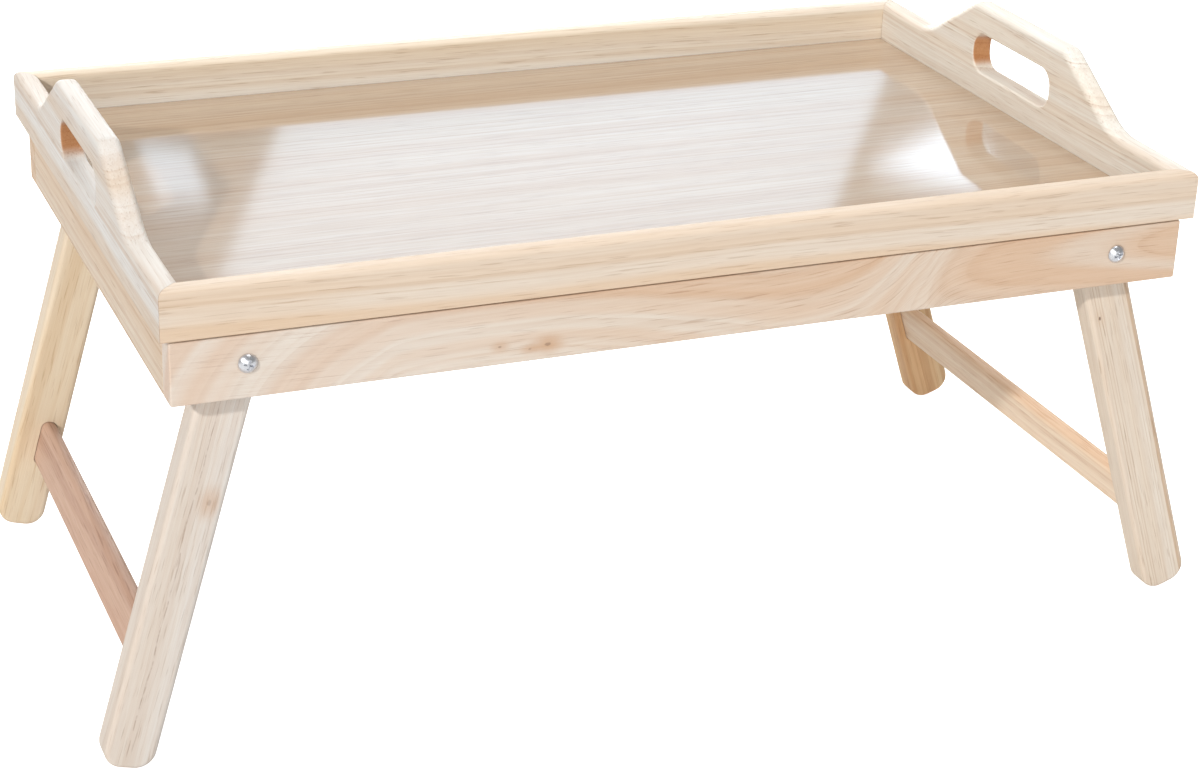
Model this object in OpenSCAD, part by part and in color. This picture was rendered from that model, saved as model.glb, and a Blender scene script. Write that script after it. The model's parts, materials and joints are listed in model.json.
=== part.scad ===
// Folding tray table: a shallow wooden tray with two raised hand-slot ends, on an under-frame
// that carries two folding leg frames. Origin: centre of the footprint, on the ground.
// +X runs along the tray, +Y to its back, +Z up. All sizes are in millimetres.

/* [Tray] */
// Length of the tray
tray_l = 500; // [440:5:560]
// Depth of the tray, front to back
tray_w = 312; // [290:1:340]
// Thickness of the four tray boards
board_t = 11; // [10:0.5:14]
// Height of the front and back boards
rim_h = 23; // [19:0.5:30]
// Rounding along the top edges of the front and back boards
rim_r = 3.5; // [1.5:0.5:4.5]
// Thickness of the floor panel
floor_t = 3; // [2.5:0.5:4]
// How much thinner the floor panel's edge is where it lies under the boards
floor_step = 0.5; // [0.3:0.1:0.8]
// Gap between the floor panel's raised field and the boards
floor_gap = 0.2; // [0.1:0.1:0.3]
// Reach of the floor panel into the rabbet under each board
rabbet = 4; // [3:0.5:6]

/* [Handles] */
// Height of the end boards at the handle
handle_h = 52; // [46:1:60]
// Length of the handle's level top, between the shoulders' corners
handle_top_l = 90; // [80:1:110]
// Slope of the shoulders, in degrees
handle_slope = 31; // [26:1:40]
// Radius of the convex shoulders
shoulder_r = 10; // [4:1:20]
// Radius of the concave sweeps at the foot of the slopes
sweep_r = 34; // [10:1:50]
// Length of the hand slot
slot_l = 77; // [64:1:90]
// Height of the hand slot
slot_h = 20.5; // [19:0.5:22]
// Height of the slot's middle above the bottom of the board
slot_z = 26.5; // [24:0.5:30]
// Corner radius of the hand slot
slot_r = 9; // [5:0.5:9]
// Offset of the right hand slot from the middle of its board, towards the back
right_slot_shift = 4; // [-5:0.5:5]

/* [Under-frame] */
// Length of the under-frame
frame_l = 490; // [480:1:498]
// Depth of the under-frame
frame_w = 297.5; // [280:0.5:305]
// Offset of the under-frame's middle from the tray's middle, along the tray
frame_shift = -1.2; // [-3:0.1:3]
// Setback of the front apron behind the tray's front face
front_setback = 1.5; // [0:0.5:5]
// Height of the under-frame
frame_h = 30; // [29:0.5:36]
// Thickness of the long aprons
apron_t = 13; // [10:0.5:16]
// Thickness of the short rails, which stop the legs
rail_t = 16; // [15:0.5:17]
// Shadow gap between the tray's underside and the long aprons
apron_gap = 1; // [0:0.5:2]

/* [Legs] */
// Width of a leg, seen from the front
leg_w = 24; // [22:0.5:25]
// Thickness of a leg
leg_t = 15; // [12:0.5:18]
// Corner radius of the feet
foot_r = 9; // [6:0.5:10]
// Height of the pivots above the ground
pivot_h = 197.5; // [180:0.5:205]
// Depth of the pivots below the tray's underside
pivot_drop = 14; // [13.5:0.5:15]
// Left pivots, from the under-frame's left end
left_pivot_inset = 33.3; // [33:0.1:35]
// Right pivots, from the under-frame's right end
right_pivot_inset = 34.3; // [33:0.1:35]
// Gap between an opened leg and the rail that stops it
stop_gap = 0.3; // [0.2:0.1:0.5]

/* [Stretchers] */
// Width of a stretcher, along the legs
stretcher_w = 24; // [18:0.5:28]
// Thickness of a stretcher
stretcher_t = 8; // [6:0.5:10]
// Distance from the left pivots down the legs to the left stretcher's upper edge
left_stretcher_drop = 144.5; // [120:0.5:150]
// Distance from the right pivots down the legs to the right stretcher's upper edge
right_stretcher_drop = 142; // [120:0.5:150]
// How far a stretcher's outer face lies outside the middle of the legs
stretcher_out = 0.5; // [0:0.5:3]
// Rounding of a stretcher's long edges
stretcher_r = 3.5; // [1:0.5:3.5]
// Depth of the mortise in each leg that takes a stretcher's end
mortise_d = 7; // [5:0.5:9]
// Gap around a stretcher in its mortises
mortise_gap = 0.3; // [0:0.1:0.5]

/* [Pivots] */
// Diameter of a pivot screw's shank
screw_d = 4.5; // [4:0.1:5]
// Diameter of the domed screw head
head_d = 8.8; // [8:0.1:10]
// Height of the domed screw head
head_h = 2.6; // [2:0.1:3]
// Width of the arms of the cross recess in a screw head
recess_w = 1; // [0.8:0.1:1.2]
// Length of the arms of the cross recess, tip to tip
recess_l = 4.4; // [3.5:0.1:5]
// Depth of the cross recess
recess_d = 1.4; // [1:0.1:1.6]
// Radial play of a screw in the apron
screw_play = 0.1; // [0.05:0.01:0.1]
// Bite of the screw's thread in the leg
thread_bite = 0.25; // [0.1:0.05:0.3]
// Thickness of the washer between an apron and a leg
washer_t = 2; // [1:0.1:2.5]
// Outer diameter of the washer
washer_d = 12; // [10:0.5:14]

/* [Brads] */
// Diameter of the brads in the corners and joints
brad_d = 1.6; // [1.2:0.1:2]
// Length of the brads in the corners and joints
brad_l = 22; // [18:1:26]
// Diameter of the short brads that hold the floor panel
floor_brad_d = 1.2; // [1:0.1:1.4]
// Length of the short brads that hold the floor panel
floor_brad_l = 12; // [10:1:15]
// Depth to which the brads' heads are sunk below the wood
brad_sunk = 0.8; // [0.5:0.1:1]

/* [Hidden] */
$fn = 64;
cut = 1;                    // how far a cutting tool runs past the face it cuts
body_gap = 0.3;             // gap between two pieces that turn against each other
pine = "blanchedalmond";
veneer = "tan";
steel = "silver";

// Under-frame, with the tray's middle as X = 0 and Y = 0, and the tray's underside as Z = 0
frame_x0 = frame_shift - frame_l / 2;
frame_x1 = frame_x0 + frame_l;
frame_y0 = front_setback - tray_w / 2;
frame_y1 = frame_y0 + frame_w;
left_pivot_x = frame_x0 + left_pivot_inset;
right_pivot_x = frame_x1 - right_pivot_inset;

// Leg frames: the outer flank of an opened leg rests against the rail's lower inner edge
rail_below = frame_h - pivot_drop;
function lean(to_rail) =
    acos((leg_w / 2 + stop_gap) / norm([to_rail, rail_below])) - atan2(rail_below, to_rail);
left_lean = lean(left_pivot_inset - rail_t);
right_lean = lean(right_pivot_inset - rail_t);
foot_flat = leg_w / 2 - foot_r;
function leg_length(tilt) = foot_r + (pivot_h - foot_r - foot_flat * sin(tilt)) / cos(tilt);
function leg_reach(tilt) =
    (leg_length(tilt) - foot_r) * sin(tilt) + foot_flat * cos(tilt) + foot_r;
front_leg_y = frame_y0 + apron_t + body_gap + washer_t;
back_leg_y = frame_y1 - apron_t - body_gap - washer_t;

// Placing: the origin is the middle of the outer box, on the ground
x_min = left_pivot_x - leg_reach(left_lean);
x_max = right_pivot_x + leg_reach(right_lean);
y_min = min(-tray_w / 2, frame_y0 - body_gap - head_h);
tray_at = [-(x_min + x_max) / 2, -(y_min + tray_w / 2) / 2, pivot_h + pivot_drop];

// ---- shared shapes ----

// Points of an arc of n steps around c, from angle a0 to angle a1
function arc(c, r, a0, a1, n) =
    [for (i = [0:n]) c + r * [cos(a0 + (a1 - a0) * i / n), sin(a0 + (a1 - a0) * i / n)]];

// Rectangle with its middle at m and all four corners rounded
module rounded_rect(m, size, r) {
    translate(m) {
        square([size[0] - 2 * r, size[1]], center = true);
        square([size[0], size[1] - 2 * r], center = true);
        for (x = [-1, 1], y = [-1, 1])
            translate([x * (size[0] / 2 - r), y * (size[1] / 2 - r)]) circle(r = r);
    }
}

// Puts a shape drawn in the front view (x across, y up) into a slab from y0 to y1
module slab(y0, y1) {
    translate([0, y1, 0])
        rotate([90, 0, 0]) linear_extrude(y1 - y0) children();
}

// A brad of diameter d and length l, starting at p and running along dir
module brad(p, dir, d = brad_d, l = brad_l) {
    turn = dir[2] != 0 ? [0, 0, 0] : dir[1] > 0 ? [-90, 0, 0] : [90, 0, 0];
    translate(p) rotate(turn) cylinder(d = d, h = l);
}

// ---- tray ----

// Wedge that trims a board to the mitred plan of one side
module mitre_plan(outer, inner, h) {
    linear_extrude(h) polygon([outer[0], outer[1], inner[1], inner[0]]);
}

// Corner k of the tray's plan, inset by d: 0 front left, 1 front right, 2 back right, 3 back left
function corner(k, d) = [
    (k == 1 || k == 2 ? 1 : -1) * (tray_l / 2 - d),
    (k >= 2 ? 1 : -1) * (tray_w / 2 - d)];

// Block over the tray's inner plan, grown by margin on every side, from z0 to z1
module inner_block(margin, z0, z1) {
    size = [tray_l - 2 * board_t + 2 * margin, tray_w - 2 * board_t + 2 * margin];
    translate([-size[0] / 2, -size[1] / 2, z0]) cube([size[0], size[1], z1 - z0]);
}

// The recess that the floor panel's edge lies in, cut into all four boards
module panel_recess() {
    inner_block(rabbet, -cut, floor_t - floor_step);
}

// Long board with rounded top edges; side is -1 at the front and 1 at the back
module long_board(side) {
    k = side < 0 ? [0, 1] : [3, 2];
    y0 = side < 0 ? -tray_w / 2 : tray_w / 2 - board_t;
    difference() {
        intersection() {
            translate([-tray_l / 2, y0, 0]) rotate([90, 0, 90]) linear_extrude(tray_l) {
                square([board_t, rim_h - rim_r]);
                translate([rim_r, 0]) square([board_t - 2 * rim_r, rim_h]);
                for (y = [rim_r, board_t - rim_r]) translate([y, rim_h - rim_r]) circle(r = rim_r);
            }
            mitre_plan([corner(k[0], 0), corner(k[1], 0)],
                [corner(k[0], board_t), corner(k[1], board_t)], rim_h);
        }
        panel_recess();
    }
}

// Half of the handle's outline from the middle outwards: level top, shoulder, slope and sweep
function half_outline() = let(
    run = (handle_h - rim_h) / tan(handle_slope),
    shoulder = [handle_top_l / 2 - shoulder_r * tan(handle_slope / 2), handle_h - shoulder_r],
    sweep = [handle_top_l / 2 + run + sweep_r * tan(handle_slope / 2), rim_h + sweep_r])
    concat(arc(shoulder, shoulder_r, 90, 90 - handle_slope, 8),
        arc(sweep, sweep_r, 270 - handle_slope, 270, 12),
        [[tray_w / 2, rim_h], [tray_w / 2, 0]]);

// End board with its handle; side is -1 at the left and 1 at the right, and slot_shift moves
// the hand slot towards the back
module handle_board(side, slot_shift) {
    k = side < 0 ? [0, 3] : [1, 2];
    half = half_outline();
    x0 = side < 0 ? -tray_l / 2 : tray_l / 2 - board_t;
    difference() {
        intersection() {
            translate([x0, 0, 0]) rotate([90, 0, 90]) linear_extrude(board_t) difference() {
                polygon(concat(half, [for (i = [len(half) - 1:-1:0]) [-half[i][0], half[i][1]]]));
                rounded_rect([slot_shift, slot_z], [slot_l, slot_h], slot_r);
            }
            mitre_plan([corner(k[0], 0), corner(k[1], 0)],
                [corner(k[0], board_t), corner(k[1], board_t)], handle_h);
        }
        panel_recess();
    }
}

module front_board() {
    color(pine) translate(tray_at) long_board(-1);
}

module back_board() {
    color(pine) translate(tray_at) long_board(1);
}

module left_handle_board() {
    color(pine) translate(tray_at) handle_board(-1, 0);
}

module right_handle_board() {
    color(pine) translate(tray_at) handle_board(1, right_slot_shift);
}

// Thin panel flush with the boards' lower edges. Its thinned edge lies in their rabbet, and its
// raised field fills the opening between them.
module tray_floor() {
    color(veneer) translate(tray_at) {
        inner_block(rabbet, 0, floor_t - floor_step);
        inner_block(-floor_gap, 0, floor_t);
    }
}

// ---- under-frame ----

// Full-length apron with the two pivot holes; y0 is its front face
module apron(y0) {
    difference() {
        translate([frame_x0, y0, -frame_h]) cube([frame_l, apron_t, frame_h - apron_gap]);
        for (x = [left_pivot_x, right_pivot_x])
            translate([x, y0 - cut, -pivot_drop]) rotate([-90, 0, 0])
                cylinder(r = screw_d / 2 + screw_play, h = apron_t + 2 * cut);
    }
}

// Short rail that butts between the aprons and stops the legs; x0 is its left face
module rail(x0) {
    translate([x0, frame_y0 + apron_t, -frame_h]) cube([rail_t, frame_w - 2 * apron_t, frame_h]);
}

module front_apron() {
    color(pine) translate(tray_at) apron(frame_y0);
}

module back_apron() {
    color(pine) translate(tray_at) apron(frame_y1 - apron_t);
}

module left_rail() {
    color(pine) translate(tray_at) rail(frame_x0);
}

module right_rail() {
    color(pine) translate(tray_at) rail(frame_x1 - rail_t);
}

// ---- leg frames ----

// Puts a leg frame's pieces in place. They are drawn with the pivot axis as the origin,
// the leg hanging down and +X pointing outwards
module left_side() {
    translate(tray_at + [left_pivot_x, 0, -pivot_drop])
        mirror([1, 0, 0]) rotate([0, -left_lean, 0]) children();
}

module right_side() {
    translate(tray_at + [right_pivot_x, 0, -pivot_drop])
        rotate([0, -right_lean, 0]) children();
}

// Front view of a leg: round top about the pivot, and a foot with rounded corners
module leg_outline(l) {
    circle(d = leg_w);
    translate([-leg_w / 2, foot_r - l]) square([leg_w, l - foot_r]);
    translate([-foot_flat, -l]) square([2 * foot_flat, foot_r]);
    for (x = [-foot_flat, foot_flat]) translate([x, foot_r - l]) circle(r = foot_r);
}

// Middle of a stretcher's section, for an upper edge that is drop below the pivots
function stretcher_mid(drop) = [stretcher_out - stretcher_t / 2, -drop - stretcher_w / 2];

// Section of a stretcher, grown by gap all round
module stretcher_outline(drop, gap = 0) {
    rounded_rect(stretcher_mid(drop), [stretcher_t + 2 * gap, stretcher_w + 2 * gap],
        stretcher_r + gap);
}

// A leg from y0 to y0 + leg_t; inner is 1 if its inner face looks to the back, else -1
module leg(y0, l, inner, drop) {
    mortise_y = inner > 0 ? y0 + leg_t - mortise_d : y0 - cut;
    difference() {
        slab(y0, y0 + leg_t) leg_outline(l);
        slab(mortise_y, mortise_y + mortise_d + cut) stretcher_outline(drop, mortise_gap);
        slab(y0 - cut, y0 + leg_t + cut) circle(r = screw_d / 2 - thread_bite);
    }
}

// Stretcher between the mortises of the front and back legs
module stretcher(drop) {
    slab(front_leg_y + leg_t - mortise_d, back_leg_y - leg_t + mortise_d) stretcher_outline(drop);
}

// Pan-head screw that runs along +Y from its head at y = 0
module pivot_screw() {
    dome_r = (head_d * head_d / 4 + head_h * head_h) / (2 * head_h);
    shank_l = apron_t + 2 * body_gap + washer_t + leg_t - cut;
    rotate([-90, 0, 0]) {
        cylinder(d = screw_d, h = shank_l);
        difference() {
            intersection() {
                translate([0, 0, dome_r - head_h]) sphere(r = dome_r);
                translate([0, 0, -head_h]) cylinder(d = head_d, h = head_h);
            }
            for (turn = [0, 90]) rotate(turn)
                translate([-recess_l / 2, -recess_w / 2, -head_h - cut])
                    cube([recess_l, recess_w, recess_d + cut]);
        }
    }
}

// The front screw starts at the front apron's face, the back screw at the back apron's face
module front_screw() {
    translate([0, frame_y0 - body_gap, 0]) pivot_screw();
}

module back_screw() {
    translate([0, frame_y1 + body_gap, 0]) mirror([0, 1, 0]) pivot_screw();
}

// Flat washer from y0 to y0 + washer_t
module washer(y0) {
    slab(y0, y0 + washer_t) difference() {
        circle(d = washer_d);
        circle(r = screw_d / 2 + screw_play);
    }
}

// Two brads through each leg into the stretcher's end grain
module stretcher_brads(drop) {
    mid = stretcher_mid(drop);
    for (z = [-stretcher_w / 4, stretcher_w / 4]) {
        brad([mid[0], front_leg_y + brad_sunk, mid[1] + z], [0, 1, 0]);
        brad([mid[0], back_leg_y - brad_sunk, mid[1] + z], [0, -1, 0]);
    }
}

module front_left_leg() {
    color(pine) left_side()
        leg(front_leg_y, leg_length(left_lean), 1, left_stretcher_drop);
}

module back_left_leg() {
    color(pine) left_side()
        leg(back_leg_y - leg_t, leg_length(left_lean), -1, left_stretcher_drop);
}

module left_stretcher() {
    color(pine) left_side() stretcher(left_stretcher_drop);
}

module front_right_leg() {
    color(pine) right_side()
        leg(front_leg_y, leg_length(right_lean), 1, right_stretcher_drop);
}

module back_right_leg() {
    color(pine) right_side()
        leg(back_leg_y - leg_t, leg_length(right_lean), -1, right_stretcher_drop);
}

module right_stretcher() {
    color(pine) right_side() stretcher(right_stretcher_drop);
}

module front_left_pivot_screw() {
    color(steel) left_side() front_screw();
}

module back_left_pivot_screw() {
    color(steel) left_side() back_screw();
}

module front_right_pivot_screw() {
    color(steel) right_side() front_screw();
}

module back_right_pivot_screw() {
    color(steel) right_side() back_screw();
}

module front_left_washer() {
    color(steel) left_side() washer(front_leg_y - washer_t);
}

module back_left_washer() {
    color(steel) left_side() washer(back_leg_y);
}

module front_right_washer() {
    color(steel) right_side() washer(front_leg_y - washer_t);
}

module back_right_washer() {
    color(steel) right_side() washer(back_leg_y);
}

// ---- brads ----

// Two brads in each mitred corner, from the long boards into the end boards
module mitre_brads() {
    color(steel) translate(tray_at)
        for (x = [-1, 1], y = [-1, 1], z = [rim_h / 3, rim_h * 2 / 3])
            brad([x * (tray_l - board_t) / 2, y * (tray_w / 2 - brad_sunk), z], [0, -y, 0]);
}

// Short brads up through the panel's edge into the boards, along all four sides
module floor_brads() {
    edge = board_t - rabbet / 2;
    color(steel) translate(tray_at) {
        for (y = [-1, 1], i = [-2:2])
            brad([i * tray_l / 5, y * (tray_w / 2 - edge), brad_sunk], [0, 0, 1],
                floor_brad_d, floor_brad_l);
        for (x = [-1, 1], i = [-1:1])
            brad([x * (tray_l / 2 - edge), i * tray_w / 3, brad_sunk], [0, 0, 1],
                floor_brad_d, floor_brad_l);
    }
}

// Two brads through each apron into the end grain of each rail
module apron_brads() {
    color(steel) translate(tray_at)
        for (x = [frame_x0 + rail_t / 2, frame_x1 - rail_t / 2], z = [-frame_h / 4, -frame_h * 3 / 4]) {
            brad([x, frame_y0 + brad_sunk, z], [0, 1, 0]);
            brad([x, frame_y1 - brad_sunk, z], [0, -1, 0]);
        }
}

module left_stretcher_brads() {
    color(steel) left_side() stretcher_brads(left_stretcher_drop);
}

module right_stretcher_brads() {
    color(steel) right_side() stretcher_brads(right_stretcher_drop);
}

front_board();
back_board();
left_handle_board();
right_handle_board();
tray_floor();
front_apron();
back_apron();
left_rail();
right_rail();
front_left_leg();
back_left_leg();
left_stretcher();
front_right_leg();
back_right_leg();
right_stretcher();
front_left_pivot_screw();
back_left_pivot_screw();
front_right_pivot_screw();
back_right_pivot_screw();
front_left_washer();
back_left_washer();
front_right_washer();
back_right_washer();
mitre_brads();
floor_brads();
apron_brads();
left_stretcher_brads();
right_stretcher_brads();
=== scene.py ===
# %% [markdown]
# # A folding tray table in pale wood
# The object is a shallow tray with raised handle ends. It stands on an apron frame, and two leg
# frames fold flat underneath it. The wood is raw and sanded, the tray's floor is a thin veneered
# panel with a clear satin finish, and the pivots are bright zinc screws.
#
# The CAD model gives every size and place. This script takes it as a fixed frame, works finer
# copies of the pieces from it, and gives each its own wood. All lengths are in metres.

import json
import math

import bmesh
import bpy
from mathutils import Matrix, Vector

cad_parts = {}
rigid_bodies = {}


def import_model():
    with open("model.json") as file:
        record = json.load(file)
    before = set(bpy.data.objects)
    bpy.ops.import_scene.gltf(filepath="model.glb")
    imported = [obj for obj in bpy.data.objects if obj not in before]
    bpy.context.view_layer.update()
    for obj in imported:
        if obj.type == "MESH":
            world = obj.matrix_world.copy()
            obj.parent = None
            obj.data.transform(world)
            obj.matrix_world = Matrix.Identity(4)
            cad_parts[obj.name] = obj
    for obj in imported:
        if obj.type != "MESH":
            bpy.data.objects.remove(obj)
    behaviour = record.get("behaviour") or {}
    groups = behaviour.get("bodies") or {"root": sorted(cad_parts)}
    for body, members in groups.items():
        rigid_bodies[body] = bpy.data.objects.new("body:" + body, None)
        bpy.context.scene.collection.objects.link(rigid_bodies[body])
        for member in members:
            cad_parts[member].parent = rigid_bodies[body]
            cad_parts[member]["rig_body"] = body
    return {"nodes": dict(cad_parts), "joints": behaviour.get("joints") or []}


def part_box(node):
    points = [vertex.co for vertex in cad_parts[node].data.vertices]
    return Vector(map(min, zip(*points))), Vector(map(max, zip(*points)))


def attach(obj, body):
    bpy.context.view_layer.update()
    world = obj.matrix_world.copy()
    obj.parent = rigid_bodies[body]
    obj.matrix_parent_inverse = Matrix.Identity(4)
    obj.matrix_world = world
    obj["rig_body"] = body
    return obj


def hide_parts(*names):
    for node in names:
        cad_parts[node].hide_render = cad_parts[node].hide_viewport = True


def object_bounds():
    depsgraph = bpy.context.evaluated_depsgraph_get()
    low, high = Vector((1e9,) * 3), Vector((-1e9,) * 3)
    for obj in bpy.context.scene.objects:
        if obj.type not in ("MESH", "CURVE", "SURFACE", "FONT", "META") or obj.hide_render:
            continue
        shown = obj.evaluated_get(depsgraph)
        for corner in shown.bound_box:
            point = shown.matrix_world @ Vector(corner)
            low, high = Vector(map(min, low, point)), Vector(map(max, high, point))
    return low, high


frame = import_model()
cad_low, cad_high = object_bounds()
MM = 0.001
print("CAD box in mm:", [round(side / MM, 1) for side in cad_high - cad_low])

# %% [markdown]
# ## Camera
# A product shot with a long lens: the camera stands in front and to the left, and looks down on
# the tray by 24 degrees. A camera looks along its own -Z, so `to_track_quat` turns it towards the
# sight line. The last turn about that line is the small tilt of a hand-set tripod.

# %% Camera
CAMERA_PLACE = Vector((-0.4735, -1.1451, 0.6448))
SIGHT_LINE = Vector((0.3543, 0.8416, -0.4075))
TRIPOD_TILT = math.radians(2.0)
LENS = 79.65

camera_data = bpy.data.cameras.new("camera")
camera_data.lens = LENS
camera = bpy.data.objects.new("camera", camera_data)
camera.location = CAMERA_PLACE
aim = SIGHT_LINE.to_track_quat("-Z", "Y").to_matrix() @ Matrix.Rotation(TRIPOD_TILT, 3, "Z")
camera.rotation_euler = aim.to_euler()
bpy.context.scene.collection.objects.link(camera)
bpy.context.scene.camera = camera
print("camera", round((CAMERA_PLACE - (cad_low + cad_high) / 2).length, 2), "m from the tray table")

# %% [markdown]
# ## Small helpers for shader nodes
# Shader trees are wired in code here, so a few helpers keep the wiring short. `feed` sets a socket
# to a number or links another node to it. Most of the others add one node and return its output,
# and two of them make a node group and place it in a tree.

# %% Helpers for shader nodes
CHART_STEPS = 255.0
SCREEN_TOE, SCREEN_TOE_SLOPE = 0.04045, 12.92
SCREEN_LIFT, SCREEN_GAMMA = 0.055, 2.4
ORIGIN = (0.0, 0.0, 0.0)
ALONG_X = (1.0, 0.0, 0.0)
ALONG_Y = (0.0, 1.0, 0.0)
ALONG_Z = (0.0, 0.0, 1.0)


def feed(tree, socket, value):
    """Sets a socket to a plain value, or links another node's output to it."""
    if isinstance(value, bpy.types.NodeSocket):
        tree.links.new(value, socket)
    else:
        socket.default_value = value


def calc(tree, operation, *values):
    """One Math node: an operation on one, two or three numbers."""
    node = tree.nodes.new("ShaderNodeMath")
    node.operation = operation
    for socket, value in zip(node.inputs, values):
        feed(tree, socket, value)
    return node.outputs["Value"]


def calc_vector(tree, operation, *values, result="Vector"):
    """One Vector Math node."""
    node = tree.nodes.new("ShaderNodeVectorMath")
    node.operation = operation
    for socket, value in zip(node.inputs, values):
        feed(tree, socket, value)
    return node.outputs[result]


def stretch(tree, place, scales):
    """A place with each of its three axes multiplied by its own scale."""
    return calc_vector(tree, "MULTIPLY", place, scales)


def three_parts(tree, place):
    """The X, Y and Z of a place, as three outputs."""
    node = tree.nodes.new("ShaderNodeSeparateXYZ")
    tree.links.new(place, node.inputs["Vector"])
    return [node.outputs[axis] for axis in "XYZ"]


def ease_between(tree, value, start, end, low=0.0, high=1.0):
    """A soft step: low where value is under start, high where it is over end."""
    node = tree.nodes.new("ShaderNodeMapRange")
    node.interpolation_type = "SMOOTHSTEP"
    for name, number in (("Value", value), ("From Min", start), ("From Max", end),
                         ("To Min", low), ("To Max", high)):
        feed(tree, node.inputs[name], number)
    return node.outputs["Result"]


def cloud(tree, place, detail=2.0, roughness=0.5, line=False, result="Fac"):
    """A Noise node, read at a point, or along a line when place is one number."""
    node = tree.nodes.new("ShaderNodeTexNoise")
    node.noise_dimensions = "1D" if line else "3D"
    feed(tree, node.inputs["W" if line else "Vector"], place)
    node.inputs["Scale"].default_value = 1.0
    node.inputs["Detail"].default_value = detail
    node.inputs["Roughness"].default_value = roughness
    return node.outputs[result]


def mix_colours(tree, share, first, second, way="MIX"):
    """A Mix node for colours."""
    node = tree.nodes.new("ShaderNodeMix")
    node.data_type = "RGBA"
    node.blend_type = way
    node.clamp_factor = True
    feed(tree, node.inputs["Factor"], share)
    feed(tree, node.inputs["A"], first)
    feed(tree, node.inputs["B"], second)
    return node.outputs["Result"]


def new_group(name, inputs, outputs):
    """A shader node group with named sockets, given as (name, kind, value) and (name, kind)."""
    group = bpy.data.node_groups.new(name, "ShaderNodeTree")
    for label, kind, value in inputs:
        socket = group.interface.new_socket(label, in_out="INPUT", socket_type="NodeSocket" + kind)
        socket.default_value = value
    for label, kind in outputs:
        group.interface.new_socket(label, in_out="OUTPUT", socket_type="NodeSocket" + kind)
    return group, group.nodes.new("NodeGroupInput").outputs, group.nodes.new("NodeGroupOutput").inputs


def use_group(tree, group, **values):
    """Places a group in a tree. Each keyword is an input's name with _ for a space."""
    node = tree.nodes.new("ShaderNodeGroup")
    node.node_tree = group
    for name, value in values.items():
        feed(tree, node.inputs[name.replace("_", " ").title()], value)
    return node.outputs


def shade(red, green, blue):
    """A colour as read off a paint chart (0 to 255), turned into Blender's linear light."""
    def linear(share):
        if share <= SCREEN_TOE:
            return share / SCREEN_TOE_SLOPE
        return ((share + SCREEN_LIFT) / (1.0 + SCREEN_LIFT)) ** SCREEN_GAMMA
    return tuple(linear(step / CHART_STEPS) for step in (red, green, blue)) + (1.0,)


print("helpers ready: a sanded pale board is", [round(c, 3) for c in shade(205, 190, 170)[:3]])

# %% [markdown]
# ## Growth rings
# A board is cut from a round log, so its pattern is a slice through nested tubes. The group takes
# a place in the log, with X along the trunk and the heart on the X axis. The distance from the
# heart gives the ring. The heart wanders a little, which makes the long arches on a board's face,
# and the same rings show as arcs on its ends. It was worth doing this way, because a flat stripe
# pattern never meets itself correctly around an edge. The group also puts out how far the rings
# have drifted, so that the fibres can drift with them. Good and bad years come in spells, which
# crowd the rings or spread them, and each year has its own strength.

# %% Shader group: growth rings
SLOW_BENDS = (4.0, 9.0, 9.0)
QUICK_BENDS = (22.0, 90.0, 90.0)
QUICK_SHARE = (0.0, 0.06, 0.06)
MIDDLE_GREY = (0.5, 0.5, 0.5)
ACROSS_TRUNK = (0.0, 1.0, 1.0)
SPELL_LENGTH = 0.55
SPELL_SHIFT = 2.4
LATE_WOOD_RISE = (0.35, 0.88)
LATE_WOOD_FALL = (0.9, 1.0)
FAINTEST_YEAR = 0.25
BAND_EDGES = (0.36, 0.66)

rings, given, wanted = new_group(
    "Growth rings",
    [("Log Place", "Vector", ORIGIN), ("Ring Width", "Float", 4 * MM),
     ("Wander", "Float", 6 * MM), ("Band Width", "Float", 20 * MM)],
    [("Line", "Float"), ("Band", "Float"), ("Drift", "Vector")])

slow = cloud(rings, stretch(rings, given["Log Place"], SLOW_BENDS), detail=1.0, result="Color")
quick = cloud(rings, stretch(rings, given["Log Place"], QUICK_BENDS), result="Color")
slow = calc_vector(rings, "SUBTRACT", slow, MIDDLE_GREY)
quick = calc_vector(rings, "SUBTRACT", quick, MIDDLE_GREY)
drift = calc_vector(rings, "SCALE", calc_vector(rings, "MULTIPLY_ADD", quick, QUICK_SHARE, slow))
rings.links.new(given["Wander"], drift.node.inputs["Scale"])
bent = calc_vector(rings, "ADD", given["Log Place"], drift)
heart_distance = calc_vector(rings, "LENGTH", stretch(rings, bent, ACROSS_TRUNK), result="Value")

count = calc(rings, "DIVIDE", heart_distance, given["Ring Width"])
spell = cloud(rings, calc(rings, "MULTIPLY", count, SPELL_LENGTH), detail=1.0, line=True)
count = calc(rings, "ADD", count, calc(rings, "MULTIPLY", spell, SPELL_SHIFT))
age = calc(rings, "FRACT", count)
late_wood = calc(rings, "MULTIPLY", ease_between(rings, age, *LATE_WOOD_RISE),
                 ease_between(rings, age, *LATE_WOOD_FALL, 1.0, 0.0))
year = rings.nodes.new("ShaderNodeTexWhiteNoise")
year.noise_dimensions = "1D"
rings.links.new(calc(rings, "FLOOR", count), year.inputs["W"])
year_strength = ease_between(rings, year.outputs["Value"], 0.0, 1.0, FAINTEST_YEAR, 1.0)
feed(rings, wanted["Line"], calc(rings, "MULTIPLY", late_wood, year_strength))
bands_out = calc(rings, "DIVIDE", heart_distance, given["Band Width"])
band = cloud(rings, bands_out, detail=1.0, line=True)
feed(rings, wanted["Band"], ease_between(rings, band, *BAND_EDGES))
feed(rings, wanted["Drift"], drift)
print("group", rings.name, "with", len(rings.nodes), "nodes")

# %% [markdown]
# ## Fibres and pores
# Wood fibres are fine threads along the trunk, and pores are hollow ones that a saw cuts open into
# short dark dashes. Both are noise that is stretched thirty to fifty times along the grain. On end
# grain the same noise shows as dots, which is what a cut bundle of threads looks like.

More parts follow.
